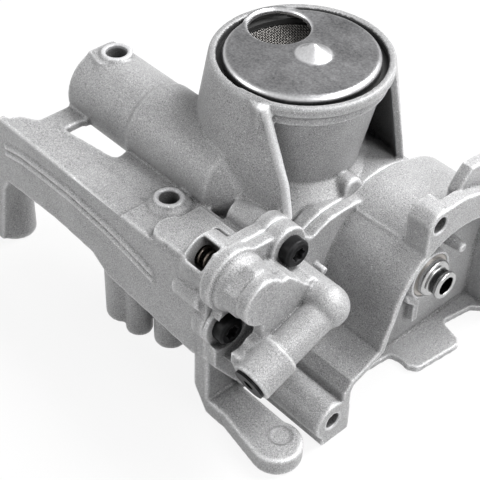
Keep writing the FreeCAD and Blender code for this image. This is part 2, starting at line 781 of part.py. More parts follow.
def rear_solid():
    rim_low = "cup_top - rim_height"
    body = [
        rod("body_barrel", "X", ("0", "0"), (BODY_END, JOINT), "body_radius"),
        box("body_block", (BODY_END, JOINT), ("-block_half", "block_half"), (SEAT, "0")),
        cut("cup_shoulder", cup_cone("cup_shoulder_cone", ("shoulder_foot", "cup_foot"), ("shoulder_radius", "cup_foot_radius")), [
            box("cup_shoulder_face", (JOINT, "0"), ("-80", "50"), ("0", "cup_foot + 1")),
        ]),
        cup_cone("cup_wall_cone", ("cup_foot - 1", "cup_top - rim_height - band_height"), ("cup_foot_radius", "cup_radius")),
        cup_cylinder("cup_band", (f"{rim_low} - band_height", rim_low), "band_radius"),
        cup_cylinder("cup_rim", (rim_low, "cup_top"), "rim_radius"),
        shroud(),
        rod("vent_rib", "X", ("-15", "32"), ("-58", JOINT), "4.6"),
    ]
    tube = [
        rod("tube_end_run", "X", ("-tube_y", "tube_z"), ("-frame_reach + tube_inset", "-frame_reach + seam_inset"), "tube_radius"),
        rod("tube_main_run", "X", ("-tube_y", "tube_z"), ("-frame_reach + seam_inset", "-neck_start"), "tube_radius + tube_swell"),
        taper("tube_shoulder", "X", ("-tube_y", "tube_z"), ("-neck_start", "-neck_end"), ("tube_radius + tube_swell", "9")),
        rod("screw_one_boss", "X", SCREWS["one"], ("-neck_end - 1", JOINT), "boss_radius - 2.5"),
        rod("screw_two_boss", "X", SCREWS["two"], ("-neck_end - 1", JOINT), "boss_radius - 1.5"),
        prism("boss_one_pad", "Z", [
            ("-frame_reach + tube_inset", "-51.5"),
            ("-frame_reach + tube_inset", "-39.2"),
            ("-frame_reach + 19", "-36.5"),
            ("-frame_reach + 25.5", "-43"),
            ("-frame_reach + 19", "-53.5"),
        ], ("boss_one_top - ring_height - pad_height - 4", "boss_one_top - ring_height")),
        rod("boss_one_ring", "Z", ("-frame_reach + boss_one_inset", "-boss_one_y"), ("boss_one_top - 8", "boss_one_top"), "bolt_radius + bolt_wall"),
        rod("boss_one_seat_pad", "Z", ("-frame_reach + boss_one_inset", "-boss_one_y"), ("boss_one_seat", "tube_z"), "bolt_radius + 3"),
    ]
    frame = [
        prism("frame_plate", "Z", PLATE_OUTLINE, ("plate_top - plate_sheet", PLATE_TOP)),
        box("frame_web", ("-frame_reach + 48", JOINT), ("-66", "-52"), ("22", "26")),
        prism("frame_wall", "Y", WALL_OUTLINE, ("-wall_y", "-wall_y + wall_sheet")),
        box("frame_inner_rib", ("-frame_reach + 60", "-97"), ("-wall_y + 1", "-64"), ("0", "plate_top - 1")),
        box("frame_end_rib", ("-frame_reach + 12", "-frame_reach + 15"), ("-wall_y + 1", "-73.5"), ("10", "plate_top - 1")),
        rod("leg_far", "Z", ("-frame_reach - 13.5", "-79.5"), (SEAT, "6"), "8.8"),
        prism("leg_far_web", "Y", [
            ("-frame_reach - 2", "28"),
            ("-frame_reach - 16", "6"),
            ("-frame_reach - 18", SEAT),
            ("-frame_reach - 10", SEAT),
            ("-frame_reach - 2", "2"),
            ("-frame_reach + 10", "14"),
        ], ("-wall_y", "-wall_y + 8")),
        rod("leg_mid_column", "Z", ("-99", "-77.5"), ("-36", "20"), "8"),
        rod("leg_mid_boss", "Z", ("-90.6", "-77.3"), (SEAT, "20"), "5.6"),
        rod("leg_near", "Z", ("-boss_two_x", "-boss_two_y"), (SEAT, "20"), "boss_two_bore + 3"),
        box("leg_web", ("-frame_reach + 60", "-62"), ("-75", "-70"), ("-32", "20")),
        taper("boss_two_dome", "Z", ("-boss_two_x", "-boss_two_y"), ("plate_top - 6", "plate_top + 1.6"), ("11", "7.4")),
        rod("boss_two_ring", "Z", ("-boss_two_x", "-boss_two_y"), ("10", "boss_two_top"), "boss_two_bore + 2"),
    ]
    for number, drop in enumerate(RIDGE_DROPS):
        line = (
            ("-frame_reach + 2", 19.8),
            ("-frame_reach + 14", 22.2),
            ("-frame_reach + 44", 23),
            ("-93.5", 21),
            ("-79.5", 18.6),
            ("-66", 15.6),
        )
        upper = [(x, f"{z} - {drop}") for x, z in line]
        lower = [(x, f"{z} - {drop} - ridge_width") for x, z in reversed(line)]
        frame.append(prism(f"ridge_{number}", "Y", upper + lower, ("-wall_y - ridge_height", "-wall_y + 1")))
    control = [
        rod("control_house", "X", CONTROL, ("-window_near - window_length - 1", JOINT), "control_step"),
        box("control_block", ("-control_depth - 3", JOINT), ("-wall_y + 0.6", "-66"), ("-6", "pad_top")),
        rod("control_column", "Z", ("-62.8", "-81.6"), ("-9", "pad_top"), "7.4"),
        rod("oval_rib", "X", ("-86.5", "18.5"), ("-54", "-40"), "4.6"),
    ]
    strut = [
        cut("strut_cut", prism("strut", "Y", [
            ("-joint_depth - strut_thickness", "12"),
            (JOINT, "12"),
            (JOINT, "-seat_drop + foot_thickness"),
            ("-joint_depth + 8", "-seat_drop + foot_thickness"),
            ("-joint_depth + 8", SEAT),
            ("-joint_depth - 1", SEAT),
            ("-joint_depth - strut_thickness", "-seat_drop + 11"),
        ], ("-strut_side", "-69")), [foot_cover_side("strut")]),
    ]
    foot = foot_pieces()
    side = [
        rod("boss_four", "Z", ("-boss_four_x", "boss_four_y"), (SEAT, "boss_four_top"), "bolt_radius + 3.6"),
        box("boss_four_web", ("-boss_four_x - 4", "-boss_four_x + 4"), ("20", "boss_four_y"), (SEAT, "boss_four_top - 3")),
        box("boss_four_rib", ("-boss_four_x", JOINT), ("20", "30"), (SEAT, "-14")),
    ]
    pieces = flange("rear_flange", (REAR_FACE, JOINT)) + body + tube + frame + control + strut + foot + side
    outside = fuse("rear_outside", pieces)
    spaces = [
        cup_cylinder("cap_seat", ("cup_top - seat_depth", "cup_top + 1"), "seat_radius"),
        cup_cone("cup_inside", ("14", "cup_top - seat_depth + 0.5"), ("14", "cup_radius - cup_wall + 0.8")),
        rod("suction_duct", "X", ("-15", "duct_z"), ("-cup_x", "-joint_depth + 1"), "port_radius"),
        rod("suction_drop", "Z", ("-cup_x", "-cup_y"), ("0", "16"), "port_radius + 2"),
        rod("pressure_duct", "X", ("port_y", "-duct_z"), ("-port_x", "-joint_depth + 1"), "port_radius - 1"),
        rod("outlet_port", "Z", ("-port_x", "port_y"), ("-seat_drop - 1", "-duct_z"), "port_radius"),
        rod("rear_bush_bore", "X", ("0", "0"), ("-shaft_length - shaft_end_gap", "-joint_depth + 1"), "journal_radius + bush_wall"),
        rod("control_rear_bore", "X", CONTROL, ("-control_depth", "-joint_depth + 1"), "spring_bore"),
        spring_window(),
        box("side_window", ("-54", "-45"), ("-72", "-69"), ("control_z", "60")),
        rod("relief_bore", "X", ("relief_y", "-relief_z"), ("-body_end - 1", "-relief_seat"), "relief_radius"),
        rod("relief_passage", "X", ("relief_y", "-relief_z"), ("-relief_seat - 1", "-port_x"), "relief_port_radius"),
        rod("relief_spill", "Z", ("-relief_seat - 11", "relief_y"), ("-seat_drop - 1", "-relief_z"), "relief_port_radius"),
        rod("boss_one_hole", "Z", ("-frame_reach + boss_one_inset", "-boss_one_y"), ("boss_one_seat - 1", "boss_one_top + 1"), "bolt_radius"),
        rod("boss_two_hole", "Z", ("-boss_two_x", "-boss_two_y"), ("-seat_drop - 1", "boss_two_top + 1"), "boss_two_bore"),
        rod("boss_four_hole", "Z", ("-boss_four_x", "boss_four_y"), ("-seat_drop - 1", "boss_four_top + 1"), "bolt_radius"),
        prism("frame_slot", "Z", SLOT, ("0", "plate_top + 2")),
    ]
    for key, across in SCREWS.items():
        deep = f"{SEAT_PLANES[key]} - shank_length - 1"
        spaces.append(rod(f"rear_hole_{key}", "X", across, (deep, "-joint_depth + 1"), "shank_radius"))
    for key, across in DOWELS.items():
        deep = "-joint_depth - dowel_length / 2 - dowel_gap"
        spaces.append(rod(f"rear_dowel_{key}", "X", across, (deep, "-joint_depth + 1"), "dowel_radius"))
    return cut("rear", outside, spaces)


def foot_cover_side(name):
    """The space beside the foot that the cover's lower edge takes."""
    return box(name + "_cover_side", (JOINT, "-foot_x"), ("-foot_side", "0"), ("-seat_drop - 1", "0"))


def foot_pieces():
    """The mounting foot: a bar with a round end, turned a little away from the shaft's line."""
    end = rod("foot_end", "Z", ("-foot_x", "-foot_y"), (SEAT, "-seat_drop + foot_thickness"), "foot_radius")
    bar = doc.addObject("Part::Box", "foot_bar")
    bar.Placement = FreeCAD.Placement(Vector(), Rotation(Vector(0, 0, 1), 180 - size("foot_turn")))
    bind(bar, "Placement.Rotation.Angle", "(180 - foot_turn) * 1 deg")
    bind(bar, "Length", "foot_reach - foot_x")
    bind(bar, "Width", "2 * foot_radius")
    bind(bar, "Height", "foot_thickness")
    bind(bar, "Placement.Base.x", "-foot_x + foot_radius * sin(foot_turn * 1 deg)")
    bind(bar, "Placement.Base.y", "-foot_y + foot_radius * cos(foot_turn * 1 deg)")
    bind(bar, "Placement.Base.z", SEAT)
    return [end, cut("foot_bar_cut", bar, [foot_cover_side("foot")])]


finish(rear_solid(), "rear_housing")

# Drive shaft, turned from bar, with the rotor key's cross hole

SHAFT_PROFILE = [
    ("0", "tip_bore_radius"),
    ("0", "tip_radius - 0.5"),
    ("-0.5", "tip_radius"),
    ("-tip_length", "tip_radius"),
    ("-tip_length", "neck_radius"),
    ("-collar_depth", "neck_radius"),
    ("-collar_depth", "journal_radius - journal_chamfer"),
    ("-collar_depth - journal_chamfer", "journal_radius"),
    ("-shaft_length + journal_chamfer", "journal_radius"),
    ("-shaft_length", "journal_radius - journal_chamfer"),
    ("-shaft_length", "0"),
    ("-tip_bore_depth", "0"),
    ("-tip_bore_depth", "tip_bore_radius"),
]
shaft_blank = turned("shaft_blank", SHAFT_PROFILE)
key_hole = rod("key_hole", "Z", ("-key_depth", "0"), ("-key_length / 2", "key_length / 2"), "key_radius")
finish(cut("shaft_cut", shaft_blank, [key_hole]), "drive_shaft")
finish(rod("key", "Z", ("-key_depth", "0"), ("-key_length / 2", "key_length / 2"), "key_radius"), "rotor_key")

for label, near in (("front_bush", "hub_face + bush_recess"), ("rear_bush", "joint_depth + bush_recess")):
    length = "chamber_floor - hub_face - bush_recess - 0.1" if label == "front_bush" else "bush_length"
    bush = turned(label + "_body", [
        ("0", "journal_radius + running_gap"),
        ("0", "journal_radius + bush_wall - 0.3"),
        ("-0.3", "journal_radius + bush_wall"),
        (f"-({length})", "journal_radius + bush_wall"),
        (f"-({length})", "journal_radius + running_gap"),
    ], start=f"-({near})")
    finish(bush, label)

# Rotor set: the inner rotor's flanks are the offset trochoid that the ring's lobes roll on

INNER_LOBES = 6
RING_LOBES = INNER_LOBES + 1
FLANK_POINTS = 16


def rotor_flank(turn, gap):
    """A point of the inner rotor's outline at one angle of the trochoid."""
    circle = size("lobe_circle")
    offset = size("rotor_offset")
    reach = size("lobe_radius") + gap
    lean = math.atan2(
        math.sin(INNER_LOBES * turn),
        circle / (offset * RING_LOBES) - math.cos(INNER_LOBES * turn),
    )
    across = circle * math.cos(turn) - reach * math.cos(turn - lean) - offset * math.cos(RING_LOBES * turn)
    up = circle * math.sin(turn) - reach * math.sin(turn - lean) - offset * math.sin(RING_LOBES * turn)
    return Vector(0, -up, across)


def rotor_span():
    low = -size("joint_depth") + size("rotor_side_gap")
    high = -size("chamber_floor") - size("rotor_side_gap")
    return low, high


def inner_rotor_shape():
    low, high = rotor_span()
    step = 2 * math.pi / INNER_LOBES
    flanks = []
    for lobe in range(INNER_LOBES):
        turns = [step * (lobe + k / FLANK_POINTS) for k in range(FLANK_POINTS + 1)]
        points = [rotor_flank(turn, size("lobe_gap")) for turn in turns]
        curve = Part.BSplineCurve()
        curve.interpolate(
            Points=points,
            InitialTangent=Vector(0, -math.cos(turns[0]), -math.sin(turns[0])),
            FinalTangent=Vector(0, -math.cos(turns[-1]), -math.sin(turns[-1])),
        )
        flanks.append(curve.toShape())
    face = Part.Face(Part.Wire(flanks))
    face.translate(Vector(low, 0, 0))
    blank = face.extrude(Vector(high - low, 0, 0))
    bore_radius = size("journal_radius") + size("rotor_bore_gap")
    bore = Part.makeCylinder(bore_radius, high - low, Vector(low, 0, 0), Vector(1, 0, 0))
    half = size("key_radius") + size("key_gap")
    reach = size("key_length") / 2 + size("key_gap")
    slot = Part.makeBox(size("key_depth") + half - size("chamber_floor") + 1, 2 * half, 2 * reach)
    slot.translate(Vector(-size("key_depth") - half, -half, -reach))
    return blank.cut(bore).cut(slot)


def ring_shape():
    low, high = rotor_span()
    length = high - low
    centre = Vector(low, 0, -size("rotor_offset"))
    outside = Part.makeCylinder(size("ring_radius"), length, centre, Vector(1, 0, 0))
    root = size("lobe_circle") - size("lobe_radius") + 2 * size("rotor_offset") + size("lobe_gap")
    inside = Part.makeCylinder(root, length, centre, Vector(1, 0, 0))
    ring = outside.cut(inside)
    band = Part.makeCylinder(size("ring_radius") - 1, length, centre, Vector(1, 0, 0))
    for lobe in range(RING_LOBES):
        angle = 2 * math.pi * lobe / RING_LOBES
        away = Vector(0, -math.sin(angle), math.cos(angle)) * size("lobe_circle")
        tooth = Part.makeCylinder(size("lobe_radius"), length, centre + away, Vector(1, 0, 0))
        ring = ring.fuse(tooth.common(band))
    return ring.removeSplitter()


for label, shape in (("inner_rotor", inner_rotor_shape()), ("outer_rotor", ring_shape())):
    rotor = doc.addObject("Part::Feature", label)
    rotor.Shape = shape
    finish(rotor, label)

# Control valve and relief valve: hollow pistons with their springs


def hollow_piston(label, radius, length, crown, wall, across, start, way):
    """A cup turned about X. Its crown starts at the given place and its skirt runs along way."""
    inner = f"{radius} - {wall}"
    body = turned(label + "_body", [
        ("0", "0"),
        ("0", f"{radius} - 0.6"),
        (f"{way} * 0.6", radius),
        (f"{way} * ({length})", radius),
        (f"{way} * ({length})", inner),
        (f"{way} * ({crown})", inner),
        (f"{way} * ({crown})", "0"),
    ], across, start)
    finish(body, label)


def coil(label, across, low, high, radius, wire, pitch):
    """A round-wire compression spring along X, from the low to the high end."""
    path = doc.addObject("Part::Helix", label + "_path")
    bind(path, "Pitch", pitch)
    bind(path, "Height", f"({high}) - ({low}) - 2 * {wire}")
    bind(path, "Radius", radius)
    path.Angle = 0
    path.Placement = FreeCAD.Placement(Vector(), ALONG["X"])
    base_at(path, "X", across, f"({low}) + {wire}")
    section = doc.addObject("Part::Circle", label + "_section")
    bind(section, "Radius", wire)
    section.Placement = FreeCAD.Placement(Vector(), ALONG["Y"])
    base_at(section, "X", (across[0], f"({across[1]}) - {radius}"), f"({low}) + {wire}")
    sweep = doc.addObject("Part::Sweep", label + "_sweep")
    sweep.Sections = [section]
    sweep.Spine = (path, ["Edge1"])
    sweep.Solid = True
    sweep.Frenet = True
    finish(sweep, label)


hollow_piston(
    "control_piston", "(control_bore - piston_gap)", "piston_length", "piston_crown", "piston_wall",
    CONTROL, "-control_seat - 0.3", -1,
)
coil(
    "control_spring", CONTROL, "-control_depth + 0.2", "-control_seat - 0.3 - piston_crown - 0.2",
    "spring_radius", "spring_wire", "spring_pitch",
)
RELIEF = ("relief_y", "-relief_z")
hollow_piston(
    "relief_piston", "(relief_radius - piston_gap)", "relief_piston_length", "piston_crown", "piston_wall",
    RELIEF, "-relief_seat - 0.3", -1,
)
coil(
    "relief_spring", RELIEF, "-body_end + relief_plug_depth + 0.2",
    "-relief_seat - 0.3 - piston_crown - 0.2", "relief_spring_radius", "spring_wire", "spring_pitch",
)

# Relief valve's plug and its sealing washer

finish(turned("washer_body", [
    ("0", "relief_radius"),
    ("0", "washer_radius"),
    ("-washer_thickness", "washer_radius"),
    ("-washer_thickness", "relief_radius"),
], RELIEF, BODY_END), "relief_washer")

HEX = [(f"relief_y + plug_hex * {math.cos(math.radians(60 * k)):.6f}",
        f"-relief_z + plug_hex * {math.sin(math.radians(60 * k)):.6f}") for k in range(6)]
plug_head = prism("plug_head", "X", HEX, ("-body_end - washer_thickness - plug_head", "-body_end - washer_thickness"))
plug_thread = rod("plug_thread", "X", RELIEF, ("-body_end - washer_thickness", "-body_end + relief_plug_depth"), "relief_radius")
finish(fuse("plug", [plug_head, plug_thread]), "relief_plug")

# Strainer: pressed cap, wire screen and rubber seal

CUP = ("-cup_x", "-cup_y")
CAP_TOP = "cup_top + cap_rise"
CAP_FOOT = "cup_top - seat_depth + screen_sheet + seal_height"


def cap_solid():
    skin = cut("cap_shell", fuse("cap_blank", [
        rod("cap_side", "Z", CUP, (CAP_FOOT, f"{CAP_TOP} - cap_round"), "cap_radius"),
        taper("cap_edge", "Z", CUP, (f"{CAP_TOP} - cap_round", CAP_TOP), ("cap_radius", "cap_radius - cap_round")),
    ]), [rod("cap_hollow", "Z", CUP, (f"{CAP_FOOT} - 1", f"{CAP_TOP} - cap_sheet"), "cap_radius - cap_sheet")])
    hole = ("-hole_x", "-hole_y")
    lip = doc.addObject("Part::Torus", "hole_lip")
    bind(lip, "Radius1", "hole_radius + lip_radius")
    bind(lip, "Radius2", "lip_radius")
    base_at(lip, "Z", hole, f"{CAP_TOP} - lip_radius")
    dimple = ("-dimple_x", "-dimple_y")
    domed = fuse("cap_domed", [
        skin,
        lip,
        taper("dimple", "Z", dimple, (f"{CAP_TOP} - cap_sheet", f"{CAP_TOP} + dimple_height"), ("dimple_radius + 1", "0.7")),
    ])
    return cut("cap", domed, [
        rod("cap_hole", "Z", hole, (f"{CAP_FOOT} - 1", f"{CAP_TOP} + 3"), "hole_radius"),
        taper("dimple_hollow", "Z", dimple, (f"{CAP_TOP} - cap_sheet - 1", f"{CAP_TOP} + dimple_height - 2"), ("dimple_radius", "0.3")),
    ])


def screen_solid():
    rest = "cup_top - seat_depth"
    dish = cut("screen_dish_shell", taper(
        "screen_dish_out", "Z", CUP, (f"{rest} - screen_dish", f"{rest} + screen_sheet"), ("screen_flat", "screen_flat + 4"),
    ), [taper(
        "screen_dish_in", "Z", CUP, (f"{rest} - screen_dish + screen_sheet", f"{rest} + 2 * screen_sheet"),
        ("screen_flat - screen_sheet", "screen_flat + 4 - screen_sheet"),
    )])
    rim = cut("screen_rim", rod("screen_disc", "Z", CUP, (rest, f"{rest} + screen_sheet"), "screen_radius"), [
        rod("screen_gap", "Z", CUP, (f"{rest} - 1", f"{rest} + screen_sheet + 1"), "screen_flat + 2.8"),
    ])
    return fuse("screen", [dish, rim])


finish(cap_solid(), "strainer_cap")
finish(screen_solid(), "strainer_screen")

# Plug that closes the gallery's drilling

plug_stem = gallery_rod("drilling_plug_stem", "drilling_radius - 0.05", "-gallery_mouth", "drilling_plug")
plug_flange = gallery_rod("drilling_plug_flange", "drilling_radius + 2", "-gallery_mouth - 1.2", "1.2")
plug_socket = gallery_rod("drilling_plug_socket", "drilling_radius / 2", "-gallery_mouth - 2", "4.5")
finish(cut("drilling_plug_shape", fuse("drilling_plug_blank", [plug_stem, plug_flange]), [plug_socket]), "gallery_plug")
SEAL_LOW = "cup_top - seat_depth + screen_sheet"
seal_ring = rod("seal_blank", "Z", CUP, (SEAL_LOW, f"{SEAL_LOW} + seal_height"), "seat_radius - 0.05")
seal_hole = rod("seal_hole", "Z", CUP, (f"{SEAL_LOW} - 1", f"{SEAL_LOW} + seal_height + 1"), "seat_radius - seal_width")
finish(cut("seal", seal_ring, [seal_hole]), "strainer_seal")

# Cover screws with six-lobed sockets, and the joint's hollow dowels


def screw(key, across):
    face = SEAT_PLANES[key]
    top = f"{face} + head_length"
    blank = fuse(f"screw_{key}_blank", [
        rod(f"screw_{key}_shank", "X", across, (f"{face} - shank_length", f"{face} + 1"), "shank_radius"),
        rod(f"screw_{key}_head", "X", across, (face, f"{top} - head_chamfer"), "head_radius"),
        taper(f"screw_{key}_edge", "X", across, (f"{top} - head_chamfer", top), ("head_radius", "head_radius - head_chamfer")),
    ])
    lobes = [rod(f"screw_{key}_socket", "X", across, (f"{top} - socket_depth", f"{top} + 1"), "socket_radius * 0.78")]
    for lobe in range(6):
        angle = math.radians(60 * lobe)
        spot = (
            f"({across[0]}) + socket_radius * {0.72 * math.cos(angle):.5f}",
            f"({across[1]}) + socket_radius * {0.72 * math.sin(angle):.5f}",
        )
        lobes.append(rod(f"screw_{key}_lobe_{lobe}", "X", spot, (f"{top} - socket_depth", f"{top} + 1"), "socket_radius * 0.28"))
    return cut(f"screw_{key}", blank, lobes)


def dowel(key, across):
    span = ("-joint_depth - dowel_length / 2", "-joint_depth + dowel_length / 2")
    long_span = (f"{span[0]} - 1", f"{span[1]} + 1")
    return cut(f"dowel_{key}", rod(f"dowel_{key}_wall", "X", across, span, "dowel_radius"), [
        rod(f"dowel_{key}_bore", "X", across, long_span, "dowel_bore"),
    ])


for label, maker, places in (("cover_screws", screw, SCREWS), ("cover_dowels", dowel, DOWELS)):
    group = doc.addObject("Part::Compound", label)
    group.Links = [maker(key, across) for key, across in places.items()]
    finish(group, label)

# Every object is checked before a shape is written

doc.recompute()
for thing in doc.Objects:
    if "Invalid" in thing.State or "Error" in thing.State:
        raise RuntimeError(f"{thing.Name} failed: {thing.State}")
for thing in sub_parts:
    if thing.Shape.isNull() or not thing.Shape.isValid():
        raise RuntimeError(f"{thing.Label} has no valid shape")
for thing in sub_parts:
    thing.Shape.exportStep(f"parts/{thing.Label}.step")
    print(thing.Label, len(thing.Shape.Solids), round(thing.Shape.Volume, 1))
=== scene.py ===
import json
import math

import bmesh
import bpy
import numpy as np
from mathutils import Matrix, Vector


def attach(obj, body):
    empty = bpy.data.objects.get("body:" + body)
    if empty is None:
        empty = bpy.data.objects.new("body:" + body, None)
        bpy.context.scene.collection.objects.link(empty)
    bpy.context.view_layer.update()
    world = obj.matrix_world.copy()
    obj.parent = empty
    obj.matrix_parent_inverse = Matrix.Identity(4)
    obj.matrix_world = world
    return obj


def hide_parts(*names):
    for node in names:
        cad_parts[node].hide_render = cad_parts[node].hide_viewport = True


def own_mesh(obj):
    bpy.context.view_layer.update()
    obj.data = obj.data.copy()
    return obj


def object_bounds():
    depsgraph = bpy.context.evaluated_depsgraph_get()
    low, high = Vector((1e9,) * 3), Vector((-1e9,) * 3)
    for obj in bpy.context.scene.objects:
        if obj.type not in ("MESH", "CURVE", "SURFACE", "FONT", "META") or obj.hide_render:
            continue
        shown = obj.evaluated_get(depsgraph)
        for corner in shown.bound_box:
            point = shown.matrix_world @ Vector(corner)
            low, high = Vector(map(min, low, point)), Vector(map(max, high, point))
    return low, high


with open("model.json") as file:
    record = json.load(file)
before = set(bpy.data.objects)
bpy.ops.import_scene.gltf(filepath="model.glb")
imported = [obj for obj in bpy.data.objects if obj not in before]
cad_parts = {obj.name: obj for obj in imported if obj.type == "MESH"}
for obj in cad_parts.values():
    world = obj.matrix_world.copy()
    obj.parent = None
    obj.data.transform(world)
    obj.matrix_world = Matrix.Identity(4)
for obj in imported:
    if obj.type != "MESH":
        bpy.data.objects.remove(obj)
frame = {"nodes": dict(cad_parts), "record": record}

CAD_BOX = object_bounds()
MM = 0.001

# Camera of the photograph
CAMERA_SPOT = Vector((195.81, -297.99, 334.12)) * MM
CAMERA_RIGHT = Vector((0.67612, 0.73634, 0.02589))
CAMERA_UP = Vector((-0.50698, 0.43944, 0.74152))
CAMERA_LENS = 95.25

# Places on the pump in mm, as in the solids: upright axes by X and Y, level axes by Y and Z
CUP_CENTRE = (-69.0, -15.0)
TUBE_BOSS = (-142, -44)
FRAME_BOSS = (-77.7, -71.5)
EJECTOR_MARK = (-7.4, -78.3)
SHAFT_AXIS = (0, 0)
LOWER_LUG = (-60.6, -29.3)
UPPER_LUG = (-13.5, 39.7)
VALVE_AXIS = (-79, 29)


class Signal:
    """A value, colour or shader that runs from one node to the next."""

    def __init__(self, maker, socket):
        self.maker = maker
        self.socket = socket

    def _maths(self, operation, first, second):
        return self.maker.node("ShaderNodeMath", {"operation": operation}, [first, second])

    def __add__(self, other):
        return self._maths("ADD", self, other)

    def __radd__(self, other):
        return self._maths("ADD", other, self)

    def __sub__(self, other):
        return self._maths("SUBTRACT", self, other)

    def __rsub__(self, other):
        return self._maths("SUBTRACT", other, self)

    def __mul__(self, other):
        return self._maths("MULTIPLY", self, other)

    def __rmul__(self, other):
        return self._maths("MULTIPLY", other, self)


class NodeMaker:
    """Adds nodes to the tree of a material or of the world."""

    def __init__(self, tree):
        self.tree = tree

    def node(self, kind, settings=None, inputs=(), out=0):
        """Adds a node: first its settings, then the values or links of its sockets."""
        made = self.tree.nodes.new(kind)
        for key, value in (settings or {}).items():
            setattr(made, key, value)
        pairs = inputs.items() if isinstance(inputs, dict) else enumerate(inputs)
        for key, value in pairs:
            self.feed(made.inputs[key], value)
        return Signal(self, made.outputs[out])

    def feed(self, socket, value):
        if isinstance(value, Signal):
            self.tree.links.new(value.socket, socket)
        else:
            socket.default_value = value

    def looked_at(self):
        """1 for what the camera or a reflection sees, 0 for what lights the pump."""
        straight = self.node("ShaderNodeLightPath", out="Is Camera Ray")
        mirrored = self.node("ShaderNodeLightPath", out="Is Glossy Ray")
        return self.node("ShaderNodeMath", {"operation": "MAXIMUM"}, [straight, mirrored])


class Finish(NodeMaker):
    """One material, built on its Principled shader."""

    def __init__(self, name):
        self.material = bpy.data.materials.new(name)
        self.material.use_nodes = True
        super().__init__(self.material.node_tree)
        self.shader = self.tree.nodes["Principled BSDF"]

    def noise(self, size, detail=3, rough=0.55):
        """Cloudy noise whose lumps are about size metres wide."""
        place = self.node("ShaderNodeTexCoord", out="Object")
        return self.node("ShaderNodeTexNoise", {}, {
            "Vector": place, "Scale": 1 / size, "Detail": detail, "Roughness": rough}, "Fac")

    def stretch(self, value, low, high):
        """0 at low and 1 at high, with soft ends."""
        return self.node("ShaderNodeMapRange", {"interpolation_type": "SMOOTHSTEP"}, [value, low, high])

    def blend(self, share, first, second):
        """Mixes two colours."""
        return self.node("ShaderNodeMix", {"data_type": "RGBA"}, {0: share, 6: first, 7: second}, 2)

    def painted(self, name):
        """A zone that was painted on the piece's points, 0 where there is none."""
        return self.node("ShaderNodeAttribute", {"attribute_name": name}, out="Fac")

    def bump(self, height, depth):
        sockets = {"Height": height, "Distance": depth, "Strength": 1.0}
        return self.node("ShaderNodeBump", {}, sockets, "Normal")

    def set(self, **sockets):
        """Feeds the shader: specular_ior_level stands for its socket Specular IOR Level."""
        for key, value in sockets.items():
            label = key.replace("_", " ").title().replace("Ior", "IOR")
            self.feed(self.shader.inputs[label], value)
        return self.material


def grey(level):
    """A neutral grey, a trace cooler than plain."""
    return (level, level, level * 1.01, 1)


def tinted(level, warm):
    """A grey with more red and less blue, up to full white."""
    return (min(1, level * (1 + warm)), min(1, level), min(1, level * (1 - warm)), 1)


def cast_aluminium():
    """Die-cast surface: pale, grainy, with milled faces, painted highlights on outward bends and the wing's
    end, and painted shade in creases and in the cup, rim, bores and lugs.
    """
    finish = Finish("cast_aluminium")
    milled = finish.painted("milled")
    edge_highlight = finish.painted("edge_highlight")
    crease_shade = finish.painted("crease_shade")
    shade = finish.painted("shade")
    wing_highlight = finish.painted("wing_highlight")
    sand = finish.noise(0.0007, 3, 0.7)
    fine = finish.noise(0.00035, 2, 0.6)
    cloud = finish.noise(0.014)
    salt = finish.stretch(sand, 0.55, 0.72)
    pepper = finish.stretch(sand, 0.46, 0.3)
    tone = 0.375 + (fine - 0.5) * 0.8 + (cloud - 0.5) * 0.16 + salt * 0.2 - pepper * 0.1
    # Painted highlight on outward bends and on the wing's end, painted shade in inward bends
    tone = tone + edge_highlight * (0.16 + 0.4 * salt) + edge_highlight * 0.14 - crease_shade * 0.2 + wing_highlight * 0.3
    bare = finish.blend(tone * (1 - shade), grey(0.012), grey(0.88))
    pits = sand * 0.65 + fine * 0.35
    return finish.set(
        base_color=finish.blend(milled * 0.8, bare, (0.5, 0.5, 0.51, 1)),
        metallic=0.2,
        roughness=0.44 - milled * 0.16 + (sand - 0.5) * 0.3,
        specular_ior_level=0.32,
        normal=finish.bump(pits * (1 - milled * 0.85), 0.00016))


def turned(name, level, rough, depth=0.00002, warm=0.0):
    """Machined or drawn metal with fine marks, darker where shade is painted."""
    finish = Finish(name)
    marks = finish.noise(0.0004, 2)
    wear_and_highlight = finish.noise(0.004)
    clean = finish.blend(marks * 0.5 + wear_and_highlight * 0.5, tinted(level * 0.62, warm), tinted(level * 1.35, warm))
    return finish.set(
        base_color=finish.blend(finish.painted("recess_shade"), clean, grey(0.03)),
        metallic=1.0,
        roughness=rough + (wear_and_highlight - 0.5) * 0.14,
        normal=finish.bump(marks, depth))


def pressed_steel():
    """Dark satin sheet with painted highlights on the rim, the hole's lip and the cone."""
    finish = Finish("pressed_steel")
    wear_and_highlight = finish.painted("wear_and_highlight")
    marks = finish.noise(0.0009, 3, 0.7)
    haze = finish.noise(0.012, 3, 0.6)
    # Brighter where highlights are painted, on the rim, the lip and the cone
    tone = 0.17 + (marks - 0.5) * 0.5 + (haze - 0.5) * 0.3 + wear_and_highlight * 0.75
    return finish.set(
        base_color=finish.blend(tone, (0.07, 0.07, 0.073, 1), (0.72, 0.72, 0.73, 1)),
        metallic=1.0,
        roughness=0.34 + (haze - 0.5) * 0.2 - wear_and_highlight * 0.06,
        normal=finish.bump(marks, 0.00004))


def screen_steel():
    """Bright wire, in a sheet ring painted near-black as painted shade."""
    finish = Finish("screen_steel")
    wire = finish.painted("wire")
    marks = finish.noise(0.0006)
    # The ring's near-black is painted shade, as it lies under the cap
    clean = finish.blend(wire, (0.006, 0.006, 0.006, 1), (0.24, 0.23, 0.22, 1))
    return finish.set(
        base_color=finish.blend(marks * 0.5, clean, grey(0.02)),
        metallic=wire * 0.9,
        roughness=0.6 - wire * 0.3 + marks * 0.1,
        specular_ior_level=0.1,
        normal=finish.bump(marks, 0.00002))


